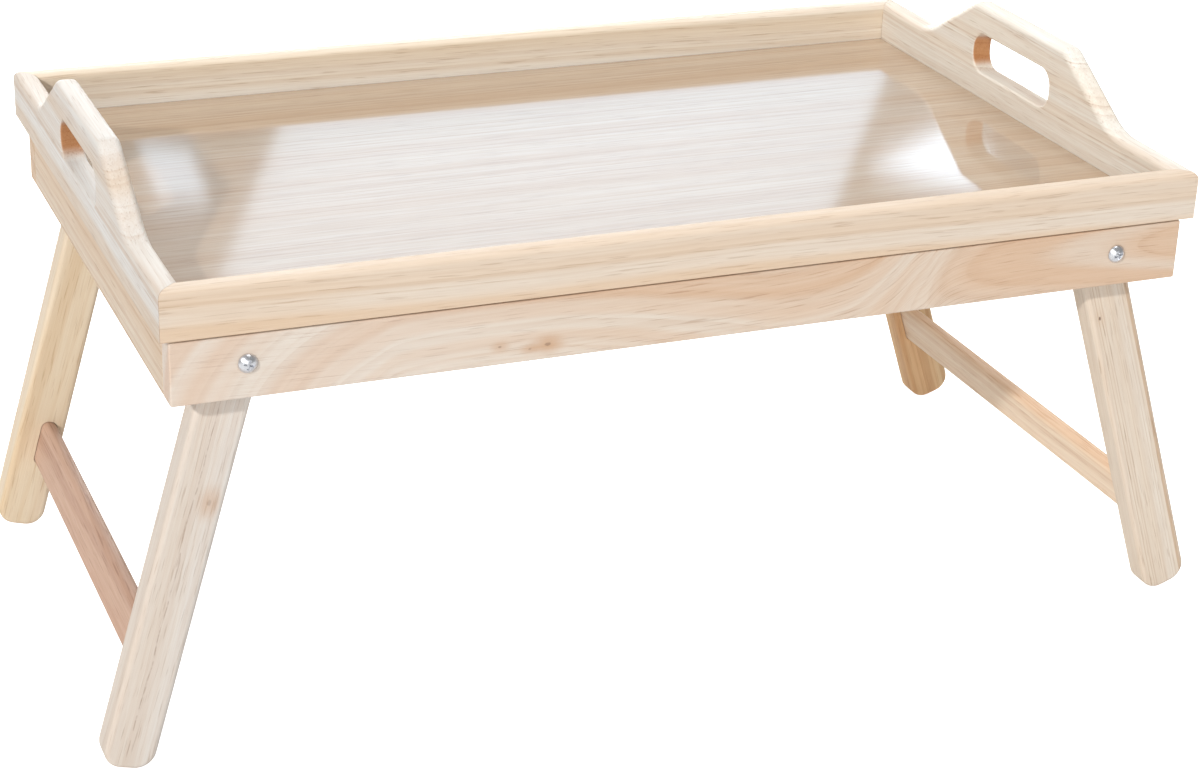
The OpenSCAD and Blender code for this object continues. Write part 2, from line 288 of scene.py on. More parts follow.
# %% Shader group: fibres and pores
COARSE_THREADS = (7.0, 380.0, 380.0)
FINE_THREADS = (30.0, 1500.0, 1500.0)
PORE_DASHES = (50.0, 1700.0, 1700.0)
COARSE_SHARE = 0.5
THREAD_LIMITS = (0.32, 0.68)
PORE_LIMITS = (0.62, 0.75)
PORES_IN_LATE_WOOD = 0.05

fibres, given, wanted = new_group(
    "Fibres and pores",
    [("Fibre Place", "Vector", ORIGIN), ("Line", "Float", 0.0)],
    [("Fibre", "Float"), ("Pore", "Float")])
coarse = stretch(fibres, given["Fibre Place"], COARSE_THREADS)
coarse = cloud(fibres, coarse, detail=3.0, roughness=0.6)
fine = cloud(fibres, stretch(fibres, given["Fibre Place"], FINE_THREADS), detail=1.0)
threads = calc(fibres, "ADD", calc(fibres, "MULTIPLY", coarse, COARSE_SHARE),
               calc(fibres, "MULTIPLY", fine, 1.0 - COARSE_SHARE))
feed(fibres, wanted["Fibre"], ease_between(fibres, threads, *THREAD_LIMITS))
dashes = stretch(fibres, given["Fibre Place"], PORE_DASHES)
dashes = cloud(fibres, dashes, detail=1.0, roughness=0.4)
dashes = calc(fibres, "ADD", dashes, calc(fibres, "MULTIPLY", given["Line"], PORES_IN_LATE_WOOD))
feed(fibres, wanted["Pore"], ease_between(fibres, dashes, *PORE_LIMITS))
print("group", fibres.name, "with", len(fibres.nodes), "nodes")

# %% [markdown]
# ## Raw sanded wood
# This group puts the two patterns together into a colour, a roughness and a height. Pale wood is
# mixed with warmer streaks in broad bands, the late wood of each ring is a thin darker line, and
# open pores are darkest. End grain drinks in light, so a face that looks along the grain is made
# deeper and redder. It finds such a face from the surface's own direction, and not from the camera.

# %% Shader group: raw wood
PATCHES = (7.0, 30.0, 30.0)
PATCH_EDGES = (0.4, 0.75)
PATCH_WARMTH = 0.3
THREAD_DARKNESS = 0.26
END_GRAIN_TURN = (0.5, 0.95)
ROUGH_HOLLOWS, SMOOTH_THREADS = 0.72, 0.58
PORE_DEPTH = 1.4
LINE_DEPTH = 0.3

raw_wood, given, wanted = new_group(
    "Raw wood",
    [("Log Place", "Vector", ORIGIN), ("Fibre Place", "Vector", ORIGIN),
     ("Surface Direction", "Vector", ALONG_Z), ("Grain Direction", "Vector", ALONG_X),
     ("Ring Width", "Float", 4 * MM), ("Band Width", "Float", 20 * MM), ("Wander", "Float", 6 * MM),
     ("Pale Wood", "Color", shade(214, 196, 172)), ("Warm Wood", "Color", shade(204, 172, 136)),
     ("Late Wood", "Color", shade(176, 134, 96)), ("End Grain", "Color", shade(214, 158, 110)),
     ("Warm Streaks", "Float", 0.5), ("Ring Lines", "Float", 0.4), ("Fibre Lines", "Float", 0.5),
     ("Pore Marks", "Float", 0.3), ("End Depth", "Float", 0.45)],
    [("Colour", "Color"), ("Roughness", "Float"), ("Height", "Float")])
ring = use_group(raw_wood, rings, log_place=given["Log Place"], ring_width=given["Ring Width"],
                 wander=given["Wander"], band_width=given["Band Width"])
along_rings = calc_vector(raw_wood, "ADD", given["Fibre Place"], ring["Drift"])
thread = use_group(raw_wood, fibres, fibre_place=along_rings, line=ring["Line"])

streaks = calc(raw_wood, "MULTIPLY", ring["Band"], given["Warm Streaks"])
colour = mix_colours(raw_wood, streaks, given["Pale Wood"], given["Warm Wood"])
lines = calc(raw_wood, "MULTIPLY", ring["Line"], given["Ring Lines"])
colour = mix_colours(raw_wood, lines, colour, given["Late Wood"])
patch = cloud(raw_wood, stretch(raw_wood, given["Log Place"], PATCHES))
patch = ease_between(raw_wood, patch, *PATCH_EDGES, 0.0, PATCH_WARMTH)
colour = mix_colours(raw_wood, patch, colour, given["Warm Wood"])
between_threads = ease_between(raw_wood, thread["Fibre"], 0.0, 1.0, THREAD_DARKNESS, 0.0)
dark_thread = calc(raw_wood, "MULTIPLY", between_threads, given["Fibre Lines"])
colour = mix_colours(raw_wood, dark_thread, colour, given["Late Wood"])
pores = calc(raw_wood, "MULTIPLY", thread["Pore"], given["Pore Marks"])
colour = mix_colours(raw_wood, pores, colour, given["Late Wood"], "MULTIPLY")
facing = calc_vector(raw_wood, "DOT_PRODUCT", given["Surface Direction"], given["Grain Direction"],
                     result="Value")
cut_across = ease_between(raw_wood, calc(raw_wood, "ABSOLUTE", facing), *END_GRAIN_TURN)
cut_across = calc(raw_wood, "MULTIPLY", cut_across, given["End Depth"])
colour = mix_colours(raw_wood, cut_across, colour, given["End Grain"], "MULTIPLY")
feed(raw_wood, wanted["Colour"], colour)

roughness = ease_between(raw_wood, thread["Fibre"], 0.0, 1.0, ROUGH_HOLLOWS, SMOOTH_THREADS)
feed(raw_wood, wanted["Roughness"], roughness)
relief = calc(raw_wood, "SUBTRACT", thread["Fibre"], calc(raw_wood, "MULTIPLY", thread["Pore"], PORE_DEPTH))
relief = calc(raw_wood, "SUBTRACT", relief, calc(raw_wood, "MULTIPLY", ring["Line"], LINE_DEPTH))
feed(raw_wood, wanted["Height"], relief)
print("group", raw_wood.name, "with", len(raw_wood.nodes), "nodes")

# %% [markdown]
# ## A log for each piece
# Each piece was sawn from its own log. Its material therefore starts by carrying the piece's Object
# coordinates into that log: a Mapping node of the TEXTURE kind moves the origin to the log's heart
# and turns X along the grain. A small extra turn makes the saw cut across the rings at a slant,
# which draws arches. Object coordinates stay with the wood when a leg folds.

# %% Place a piece in its log
MOSTLY = 0.9


def into_log(tree, node, grain, heart, slant):
    """Coordinates in the log of a CAD node. Heart is from the piece's middle, in the log's own axes."""
    low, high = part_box(node)
    along = Vector(grain).normalized()
    side = Vector(ALONG_Y if abs(along.y) < MOSTLY else ALONG_X)
    up = along.cross(side).normalized()
    side = up.cross(along)
    turn = Matrix((along, side, up)).transposed()
    centre = (low + high) / 2 + turn @ Vector(heart)
    slanted = turn @ Matrix.Rotation(slant[0], 3, "Y") @ Matrix.Rotation(slant[1], 3, "Z")
    place = tree.nodes.new("ShaderNodeMapping")
    place.vector_type = "TEXTURE"
    place.inputs["Location"].default_value = centre
    place.inputs["Rotation"].default_value = slanted.to_euler()
    own = tree.nodes.new("ShaderNodeTexCoord")
    tree.links.new(own.outputs["Object"], place.inputs["Vector"])
    return place.outputs["Vector"], own.outputs["Normal"], along


def start_material(name):
    """An empty material: its tree, and the Principled shader that ends it."""
    material = bpy.data.materials.new(name)
    material.use_nodes = True
    tree = material.node_tree
    shader = tree.nodes["Principled BSDF"]
    return material, tree, shader


def add_relief(tree, shader, height, strength, depth):
    """Small relief, as a Bump node on the shader's Normal."""
    bump = tree.nodes.new("ShaderNodeBump")
    bump.inputs["Strength"].default_value = strength
    bump.inputs["Distance"].default_value = depth
    tree.links.new(height, bump.inputs["Height"])
    tree.links.new(bump.outputs["Normal"], shader.inputs["Normal"])


WOOD_SHINE = 0.45
WOOD_RELIEF = (0.25, 0.15 * MM)


def wood_material(node, grain, heart, slant=(0.0, 0.0), marks=(), wandering=None, **look):
    """Raw wood for one CAD node, with its own log and its own values in the Raw wood group.
    Marks are placed from the piece's middle: along the grain, then the two ways across it."""
    material, tree, shader = start_material(node + "_wood")
    place, direction, along = into_log(tree, node, grain, heart, slant)
    fibre_place = place
    if wandering:
        place, fibre_place = wandering(tree, place)
    wood = use_group(tree, raw_wood, log_place=place, fibre_place=fibre_place, surface_direction=direction,
                     grain_direction=along, **look)
    colour = wood["Colour"]
    if marks:
        from_middle = into_log(tree, node, grain, ORIGIN, (0.0, 0.0))[0]
    for mark in marks:
        colour = mark(tree, from_middle, colour)
    tree.links.new(colour, shader.inputs["Base Color"])
    tree.links.new(wood["Roughness"], shader.inputs["Roughness"])
    shader.inputs["Specular IOR Level"].default_value = WOOD_SHINE
    add_relief(tree, shader, wood["Height"], *WOOD_RELIEF)
    return material


# %% [markdown]
# ## Sanded copies of the CAD pieces
# The CAD solids have knife-sharp edges. A workshop eases every edge with sandpaper, and that thin
# round is what catches the light. It could be a bump trick, but the outline would stay sharp. So a
# copy of each CAD mesh is welded, its flat triangles are joined to whole faces, and its sharp edges
# get a true round from the bevel operator. Joints that close up tight get a smaller one. Some boards
# are made afresh, so `pull` moves what was just extruded, and `saw` cuts along a plane.

# %% Sanding helpers
WELD = 0.002 * MM
FLAT = math.radians(0.5)
SHARP = math.radians(35)
SANDED = 0.5 * MM
APRON_EASE = 0.9 * MM


def welded(node):
    """A bmesh of a CAD node with its triangles welded and its flat faces whole."""
    mesh = bmesh.new()
    mesh.from_mesh(frame["nodes"][node].data)
    bmesh.ops.remove_doubles(mesh, verts=mesh.verts, dist=WELD)
    bmesh.ops.dissolve_limit(mesh, angle_limit=FLAT, verts=mesh.verts, edges=mesh.edges)
    return mesh


def arrises(mesh, keep=lambda edge: True):
    """The sharp edges of a mesh, or those that keep() picks."""
    return [e for e in mesh.edges if len(e.link_faces) == 2
            and e.calc_face_angle(0.0) > SHARP and keep(e)]


def round_over(mesh, edges, radius, steps, limit=True):
    """Rounds edges to a radius, which limit keeps from running into its neighbours."""
    bmesh.ops.bevel(mesh, geom=edges, offset=radius, offset_type="OFFSET", segments=steps,
                    profile=0.5, affect="EDGES", material=-1, clamp_overlap=limit)


def pull(mesh, grown, way):
    """Moves what an extrusion has just made. Returns its edges."""
    bmesh.ops.translate(mesh, vec=way, verts=[part for part in grown if isinstance(part, bmesh.types.BMVert)])
    return [part for part in grown if isinstance(part, bmesh.types.BMEdge)]


def saw(mesh, place, towards):
    """Cuts off what lies past a plane, and closes the cut."""
    cut = bmesh.ops.bisect_plane(mesh, geom=mesh.verts[:] + mesh.edges[:] + mesh.faces[:], dist=WELD,
                                 plane_co=place, plane_no=towards, clear_outer=True)
    rim = [part for part in cut["geom_cut"] if isinstance(part, bmesh.types.BMEdge)]
    bmesh.ops.contextual_create(mesh, geom=rim)


def outer_loop(edges):
    """Of several loops of edges, the longest one, which is a face's outline and not a hole."""
    left, best = set(edges), []
    while left:
        loop, grown = [], [left.pop()]
        while grown:
            edge = grown.pop()
            loop.append(edge)
            touching = {e for v in edge.verts for e in v.link_edges if e in left}
            left -= touching
            grown.extend(touching)
        if sum(e.calc_length() for e in loop) > sum(e.calc_length() for e in best):
            best = loop
    return best


def finished_piece(mesh, node, material):
    """Makes the bmesh an object that stands for a CAD node and rides on the same body."""
    body = frame["nodes"][node]["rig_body"]
    data = bpy.data.meshes.new(node + "_finished")
    mesh.to_mesh(data)
    mesh.free()
    data.polygons.foreach_set("use_smooth", [True] * len(data.polygons))
    data.set_sharp_from_angle(angle=SHARP)
    piece = bpy.data.objects.new(node + "_finished", data)
    bpy.context.scene.collection.objects.link(piece)
    level = piece.modifiers.new("level faces", "WEIGHTED_NORMAL")
    level.keep_sharp = True
    data.materials.append(material)
    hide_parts(node)
    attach(piece, body)
    return piece


def report_piece(piece):
    """Prints a piece's faces, and its open edges, of which a closed piece has none."""
    mesh = bmesh.new()
    mesh.from_mesh(piece.data)
    loose = sum(1 for edge in mesh.edges if len(edge.link_faces) != 2)
    print(piece.name, len(mesh.faces), "faces,", loose, "open edges")
    mesh.free()


print("edges are rounded to", SANDED / MM, "mm unless a piece says otherwise")

# %% [markdown]
# ## Front and back boards
# The long boards have a well-rounded top and mitred ends. Their section is drawn as a face of six
# corners with the rabbet for the floor panel, and extruded to the full length. The bevel operator
# rounds the two top edges, and a plane at 45 degrees cuts each end, as a mitre saw does. This is
# cleaner than a boolean, and it gives the rounding as many steps as wanted.

# %% Long boards
TOP_ROUND = 3.5 * MM
PANEL_EDGE = 2.5 * MM
SEAM = 0.25 * MM
NEARLY_NONE = 0.05


def is_seam(edge):
    """True for an edge of a mitred face, which lies at 45 degrees in plan."""
    return any(abs(abs(face.normal.x) - abs(face.normal.y)) < NEARLY_NONE
               and abs(face.normal.z) < NEARLY_NONE for face in edge.link_faces)


def long_board(node, outside):
    """A board along X. Outside is -1 at the front and 1 at the back."""
    low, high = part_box(node)
    thick, tall = high.y - low.y, high.z - low.z
    rabbet = min(abs(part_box("tray_floor")[i].y - (high.y, low.y)[i]) for i in (0, 1))
    mesh = bmesh.new()
    section = [(0, 0), (thick - rabbet, 0), (thick - rabbet, PANEL_EDGE), (thick, PANEL_EDGE),
               (thick, tall), (0, tall)]
    face_y = low.y if outside < 0 else high.y
    start = mesh.faces.new([mesh.verts.new((low.x, face_y - outside * inward, low.z + up))
                            for inward, up in section])
    moved = bmesh.ops.extrude_face_region(mesh, geom=[start])["geom"]
    pull(mesh, moved, (high.x - low.x, 0, 0))
    bmesh.ops.recalc_face_normals(mesh, faces=mesh.faces)

    def is_long(edge):
        return abs(edge.verts[0].co.x - edge.verts[1].co.x) > thick

    top_edges = [e for e in mesh.edges if is_long(e) and min(v.co.z for v in e.verts) > high.z - WELD]
    round_over(mesh, top_edges, TOP_ROUND, steps=8)
    for end, corner_x in ((-1, low.x), (1, high.x)):
        saw(mesh, (corner_x, face_y, 0), (end, -outside, 0))
    bmesh.ops.recalc_face_normals(mesh, faces=mesh.faces)
    round_over(mesh, arrises(mesh, is_seam), SEAM, steps=2)
    round_over(mesh, arrises(mesh, is_long), SANDED, steps=3)
    return mesh


BOARD_WOOD = dict(slant=(math.radians(0.6), 0.0), late_wood=shade(178, 144, 108), ring_width=3.2 * MM,
                  band_width=16 * MM, wander=7 * MM, warm_streaks=0.7, ring_lines=0.24,
                  fibre_lines=0.5, pore_marks=0.32)
for node, outside, heart, pale, warm in (
        ("front_board", -1, (0.0, 0.03, -0.13), shade(215, 203, 189), shade(211, 183, 153)),
        # The back board's colours are painted light: paler than the front board's, to make up for the shade
        # on its inner face.
        ("back_board", 1, (0.1, -0.02, -0.1), shade(227, 220, 209), shade(218, 200, 174))):
    wood = wood_material(node, ALONG_X, heart, pale_wood=pale, warm_wood=warm, **BOARD_WOOD)
    report_piece(finished_piece(long_board(node, outside), node, wood))

# %% [markdown]
# ## Handle boards
# An end board rises to a handle and has a slot for the fingers. Its outline starts as eight straight
# corners, and the bevel operator rounds single corners of it, which is how a template is drawn with
# compasses. The slot is a rectangle with rounded corners inside it. Both outlines are filled as one
# face and extruded to the board's thickness. The edges of the slot and those along the top are
# rounded over, the rabbet for the floor panel is cut, and the ends are mitred last.

# %% Handle outline
HANDLE_TOP = 90 * MM
HANDLE_SLOPE = math.radians(31)
SHOULDER_ROUND = 10 * MM
SWEEP_ROUND = 34 * MM
SLOT_SIZE = (77 * MM, 20.5 * MM)
SLOT_CORNER = 8.9 * MM
SLOT_HEIGHT = 26.5 * MM
SLOT_EASE = 1.2 * MM
SLOT_REACH = 6 * MM  # the larger of the slots' shifts, and a little more
SLOT_SHIFT = {"left_handle_board": 0.0, "right_handle_board": 4 * MM}


def draw_outline(mesh, points):
    """A closed outline of straight edges. Returns its corners."""
    corners = [mesh.verts.new(point) for point in points]
    for corner, following in zip(corners, corners[1:] + corners[:1]):
        mesh.edges.new((corner, following))
    return corners


def round_corners(mesh, corners, radius, turn, steps):
    """Rounds corners of a flat outline to a radius, where the outline turns by an angle."""
    bmesh.ops.bevel(mesh, geom=corners, offset=radius * math.tan(turn / 2), offset_type="OFFSET",
                    segments=steps, profile=0.5, affect="VERTICES", material=-1)


def handle_face(node, low, high, face_x):
    """The board's outer face with its slot, as a flat mesh."""
    middle = (low.y + high.y) / 2
    half = (high.y - low.y) / 2
    rim_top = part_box("front_board")[1].z
    shoulder = HANDLE_TOP / 2
    sweep = shoulder + (high.z - rim_top) / math.tan(HANDLE_SLOPE)
    mesh = bmesh.new()
    plan = [(-half, low.z), (half, low.z), (half, rim_top), (sweep, rim_top), (shoulder, high.z),
            (-shoulder, high.z), (-sweep, rim_top), (-half, rim_top)]
    corners = draw_outline(mesh, [(face_x, middle + y, z) for y, z in plan])
    round_corners(mesh, [corners[4], corners[5]], SHOULDER_ROUND, HANDLE_SLOPE, steps=8)
    sweeps = [v for v in mesh.verts if abs(abs(v.co.y - middle) - sweep) < WELD]
    round_corners(mesh, sweeps, SWEEP_ROUND, HANDLE_SLOPE, steps=12)
    across, up = SLOT_SIZE[0] / 2, SLOT_SIZE[1] / 2
    slot_y = middle + SLOT_SHIFT[node]
    slot_z = low.z + SLOT_HEIGHT
    slot = draw_outline(mesh, [(face_x, slot_y + a * across, slot_z + b * up)
                               for a, b in ((-1, -1), (1, -1), (1, 1), (-1, 1))])
    round_corners(mesh, slot, SLOT_CORNER, math.pi / 2, steps=8)
    bmesh.ops.triangle_fill(mesh, use_beauty=True, use_dissolve=False, edges=mesh.edges, normal=ALONG_X)
    bmesh.ops.dissolve_limit(mesh, angle_limit=FLAT, verts=mesh.verts, edges=mesh.edges)
    return mesh


print("handle", round(HANDLE_TOP / MM), "mm wide at its top")

# %% Rabbet for the floor panel
STRAIGHT = 0.99


def cut_rabbet(mesh, low, high, outer_x, inwards):
    """Takes out the strip along the lower inner edge that the floor panel lies in."""
    inner_x = outer_x + inwards * (high.x - low.x)
    rabbet = abs(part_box("tray_floor")[0 if inwards > 0 else 1].x - inner_x)
    rabbet_x = inner_x - inwards * rabbet

    def is_under(face):
        return face.normal.z < -STRAIGHT and face.calc_center_median().z < low.z + WELD

    def is_inner(face):
        return face.normal.x * inwards > STRAIGHT

    under = [f for f in mesh.faces if is_under(f)]
    inside = [f for f in mesh.faces if is_inner(f)]
    for faces, place, direction in ((under, (rabbet_x, 0, 0), ALONG_X),
                                    (inside, (0, 0, low.z + PANEL_EDGE), ALONG_Z)):
        parts = list({v for f in faces for v in f.verts}) + list({e for f in faces for e in f.edges})
        bmesh.ops.bisect_plane(mesh, geom=parts + faces, dist=WELD, plane_co=place, plane_no=direction)
    waste = [f for f in mesh.faces
             if is_under(f) and (f.calc_center_median().x - rabbet_x) * inwards > 0
             or is_inner(f) and f.calc_center_median().z < low.z + PANEL_EDGE]
    bmesh.ops.delete(mesh, geom=waste, context="FACES")

    rims = [e for e in mesh.edges
            if len(e.link_faces) == 1 and abs(e.verts[0].co.y - e.verts[1].co.y) > rabbet]
    lower = [e for e in rims if e.verts[0].co.z < low.z + WELD]
    upper = [e for e in rims if e.verts[0].co.z > low.z + WELD]
    ridge = pull(mesh, bmesh.ops.extrude_edge_only(mesh, edges=lower)["geom"], (0, 0, PANEL_EDGE))
    bmesh.ops.bridge_loops(mesh, edges=ridge + upper)


print("the floor panel's edge takes up", round(PANEL_EDGE / MM, 1), "mm of the boards' height")

# %% Handle boards
def handle_board(node):
    """An end board: outline, slot, rounded top, rabbet and mitres."""
    low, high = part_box(node)
    inwards = 1 if high.x < 0 else -1
    outer_x = low.x if inwards > 0 else high.x
    rim_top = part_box("front_board")[1].z
    mesh = handle_face(node, low, high, outer_x)
    moved = bmesh.ops.extrude_face_region(mesh, geom=mesh.faces[:])["geom"]
    pull(mesh, moved, (inwards * (high.x - low.x), 0, 0))
    bmesh.ops.recalc_face_normals(mesh, faces=mesh.faces)

    def in_slot(vert):
        return (abs(vert.co.z - low.z - SLOT_HEIGHT) < SLOT_SIZE[1] / 2 + WELD
                and abs(vert.co.y) < SLOT_SIZE[0] / 2 + SLOT_REACH)

    edges = arrises(mesh, lambda e: any(abs(f.normal.x) > STRAIGHT for f in e.link_faces))
    slot_edges = [e for e in edges if all(in_slot(v) for v in e.verts)]
    top_edges = [e for e in edges
                 if e not in slot_edges and min(v.co.z for v in e.verts) > rim_top - WELD]
    round_over(mesh, slot_edges, SLOT_EASE, steps=4)
    round_over(mesh, top_edges, TOP_ROUND, steps=8, limit=False)
    cut_rabbet(mesh, low, high, outer_x, inwards)
    for end, corner_y in ((-1, low.y), (1, high.y)):
        saw(mesh, (outer_x, corner_y, 0), (inwards, end, 0))
    bmesh.ops.remove_doubles(mesh, verts=mesh.verts, dist=WELD)
    bmesh.ops.recalc_face_normals(mesh, faces=mesh.faces)
    round_over(mesh, arrises(mesh, is_seam), SEAM, steps=2)
    return mesh


HANDLE_WOOD = dict(slant=(0.0, math.radians(1.2)), late_wood=shade(176, 138, 104),
                   ring_width=3.6 * MM, band_width=18 * MM, wander=8 * MM, warm_streaks=0.6,
                   ring_lines=0.32, fibre_lines=0.6, pore_marks=0.32, end_depth=1.0)
for node, heart, pale, warm in (
        ("left_handle_board", (0.05, 0.012, 0.16), shade(212, 211, 208), shade(199, 177, 152)),
        ("right_handle_board", (-0.04, -0.02, 0.2), shade(223, 220, 212), shade(217, 202, 183))):
    wood = wood_material(node, ALONG_Y, heart, pale_wood=pale, warm_wood=warm, **HANDLE_WOOD)
    report_piece(finished_piece(handle_board(node), node, wood))

# %% [markdown]
# ## The wandering heart of the front apron
# The front apron is flat-sawn from a crooked log, so broad bands climb steeply near one end, and a
# long arch opens towards the other. Two Float Curve nodes carry this: along the board, one says how
# deep below the face the heart lies, and the other how high it is. The curves are read by the place
# along the board, so the pattern stays true on every face of the apron.

# %% Curves for the apron's heart
def wandering_heart(depth, height, span):
    """A function that bends log coordinates by two curves of (share of the length, mm).
    It gives the place for the rings, and one for the fibres, which don't dive with the heart."""
    def bend(tree, place):
        along, across, up = three_parts(tree, place)
        share = calc(tree, "MULTIPLY_ADD", along, 1.0 / span, 0.5)
        shifts = []
        for points in (depth, height):
            lowest = min(value for _, value in points)
            reach = max(value for _, value in points) - lowest
            curve = tree.nodes.new("ShaderNodeFloatCurve")
            line = curve.mapping.curves[0]
            line.points[0].location = (points[0][0], (points[0][1] - lowest) / reach)
            line.points[1].location = (points[-1][0], (points[-1][1] - lowest) / reach)
            for where, value in points[1:-1]:
                line.points.new(where, (value - lowest) / reach)
            curve.mapping.update()
            tree.links.new(share, curve.inputs["Value"])
            shifts.append(calc(tree, "MULTIPLY_ADD", curve.outputs["Value"], reach * MM, lowest * MM))
        raised = calc(tree, "SUBTRACT", up, shifts[1])
        joined = []
        for sunk in (calc(tree, "ADD", across, shifts[0]), across):
            place = tree.nodes.new("ShaderNodeCombineXYZ")
            for axis, value in zip("XYZ", (along, sunk, raised)):
                tree.links.new(value, place.inputs[axis])
            joined.append(place.outputs["Vector"])
        return joined
    return bend


HEART_DEPTH = [(0.0, 95), (0.13, 50), (0.18, 34), (0.22, 21), (0.3, 15), (0.4, 25), (0.5, 38),
               (0.62, 46), (0.7, 38), (0.78, 27), (0.87, 22), (0.93, 19), (1.0, 14)]
HEART_HEIGHT = [(0.0, -40), (0.5, -40), (0.62, -36), (0.72, -12), (0.78, 3), (1.0, 4)]
print("the apron's heart comes within", min(v for _, v in HEART_DEPTH), "mm of its middle")

# %% [markdown]
# ## Knots and other marks
# A tiny twig leaves a dark dot with a warm stain around it. A knot is the distance from a point of
# the piece, so it is a small spot on the face, and it is drawn by a group that any wood can use. Two
# other marks are paler sapwood at one end of a board, and a hairline, a fine dark line that comes
# and goes along the grain. Each is a function that adds its own nodes over the wood's colour.

# %% Shader group: pin knot
KNOT_SHAPE = (0.6, 0.25, 1.0)
KNOT_FRAY = (900.0, 900.0, 900.0)
FRAY_REACH = 0.8
DOT_EDGE = (0.9, 1.5)
STAIN_EDGE = (1.0, 7.0)

pin_knot, given, wanted = new_group(
    "Pin knot",
    [("Place", "Vector", ORIGIN), ("Centre", "Vector", ORIGIN), ("Size", "Float", MM)],
    [("Dot", "Float"), ("Stain", "Float")])
apart = stretch(pin_knot, calc_vector(pin_knot, "SUBTRACT", given["Place"], given["Centre"]), KNOT_SHAPE)
frayed = cloud(pin_knot, stretch(pin_knot, given["Place"], KNOT_FRAY))
reach = calc(pin_knot, "DIVIDE", calc_vector(pin_knot, "LENGTH", apart, result="Value"), given["Size"])
reach = calc(pin_knot, "ADD", reach, calc(pin_knot, "MULTIPLY", frayed, FRAY_REACH))
feed(pin_knot, wanted["Dot"], ease_between(pin_knot, reach, *DOT_EDGE, 1.0, 0.0))
feed(pin_knot, wanted["Stain"], ease_between(pin_knot, reach, *STAIN_EDGE, 1.0, 0.0))
print("group", pin_knot.name, "with", len(pin_knot.nodes), "nodes")

# %% Marks for a piece's wood
LINE_SWAY = 4 * MM
LINE_BENDS, LINE_BREAKS = 28.0, 160.0
LINE_EDGE = (0.1 * MM, 0.45 * MM)
BREAK_LIMITS = (0.35, 0.6)


def knot(centre, size, dot, stain):
    """A mark for wood_material: a knot at a place from the piece's middle, in mm."""
    def draw(tree, place, colour):
        marks = use_group(tree, pin_knot, place=place, centre=Vector(centre) * MM, size=size * MM)
        stained = calc(tree, "MULTIPLY", marks["Stain"], stain)
        colour = mix_colours(tree, stained, colour, shade(186, 140, 98))
        return mix_colours(tree, calc(tree, "MULTIPLY", marks["Dot"], dot), colour, shade(92, 62, 42))
    return draw


def sapwood_end(start, end, share, tint):
    """A mark for wood_material: paler wood towards one end, between two places along it in mm."""
    def draw(tree, place, colour):
        along = three_parts(tree, place)[0]
        return mix_colours(tree, ease_between(tree, along, start * MM, end * MM, share, 0.0), colour, tint)
    return draw


def hairline(across, dark):
    """A mark for wood_material: a fine broken dark line along the grain, across mm from the middle."""
    def draw(tree, place, colour):
        along, _, up = three_parts(tree, place)
        bend = cloud(tree, calc(tree, "MULTIPLY", along, LINE_BENDS), line=True)
        middle = calc(tree, "MULTIPLY_ADD", bend, LINE_SWAY, across * MM - LINE_SWAY / 2)
        apart = calc(tree, "ABSOLUTE", calc(tree, "SUBTRACT", up, middle))
        broken = cloud(tree, calc(tree, "MULTIPLY", along, LINE_BREAKS), line=True)
        line = calc(tree, "MULTIPLY", ease_between(tree, apart, *LINE_EDGE, dark, 0.0),
                    ease_between(tree, broken, *BREAK_LIMITS))
        return mix_colours(tree, line, colour, shade(130, 92, 66))
    return draw


print("a hairline sways by", round(LINE_SWAY / MM), "mm")

# %% [markdown]
# ## Aprons and rails
# Two full-length aprons and two short rails make the under-frame. They are plain planed laths, so
# their CAD copies only get eased edges. What makes them is their figure: bold on the front apron,
# quiet on the others.

# %% Under-frame
apron_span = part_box("front_apron")[1].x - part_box("front_apron")[0].x
FRAME_WOOD = dict(late_wood=shade(180, 140, 104), fibre_lines=0.6, pore_marks=0.32, end_depth=0.1)
frame_looks = {
    "front_apron": dict(
        grain=ALONG_X, heart=ORIGIN, pale_wood=shade(213, 201, 187), warm_wood=shade(206, 177, 151),
        ring_width=4.5 * MM, band_width=13 * MM, wander=2 * MM, warm_streaks=1.0, ring_lines=0.2,
        wandering=wandering_heart(HEART_DEPTH, HEART_HEIGHT, apron_span),
        marks=[sapwood_end(start=-190, end=-20, share=0.28, tint=shade(216, 211, 206)),
               knot((-77.3, -6.5, -7.4), size=1.0, dot=0.4, stain=0.6),
               knot((-99.6, -6.5, -5.9), size=0.6, dot=0.4, stain=0.4),
               knot((-85.7, -6.5, -8.6), size=0.6, dot=0.3, stain=0.4)]),
    "back_apron": dict(
        grain=ALONG_X, heart=(0.02, 0.025, -0.06), pale_wood=shade(210, 193, 172),
        warm_wood=shade(202, 172, 140), ring_width=4.2 * MM, band_width=18 * MM, wander=10 * MM,
        warm_streaks=0.7, ring_lines=0.4),
    "left_rail": dict(
        grain=ALONG_Y, heart=(0.0, 0.03, 0.05), pale_wood=shade(210, 196, 178),
        warm_wood=shade(200, 170, 138), ring_width=3.5 * MM, band_width=16 * MM, wander=8 * MM,
        warm_streaks=0.6, ring_lines=0.4),
    "right_rail": dict(
        grain=ALONG_Y, heart=(0.03, -0.025, 0.07), pale_wood=shade(212, 194, 172),
        warm_wood=shade(204, 174, 142), ring_width=4.0 * MM, band_width=20 * MM, wander=8 * MM,
        warm_streaks=0.6, ring_lines=0.35),
}


def outer_edges(mesh, low, high):
    """The long outer edges of a lath, which lie in two of its box's faces along its length."""
    long_way = 0 if high.x - low.x > high.y - low.y else 1
    cross_ways = (2, 1 - long_way)
    return arrises(mesh, lambda e: all(min(abs(v.co[way] - low[way]), abs(v.co[way] - high[way])) < WELD
                                       for v in e.verts for way in cross_ways))


for node, look in frame_looks.items():
    mesh = welded(node)
    round_over(mesh, outer_edges(mesh, *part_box(node)), APRON_EASE, steps=3)
    report_piece(finished_piece(mesh, node, wood_material(node, **FRAME_WOOD, **look)))

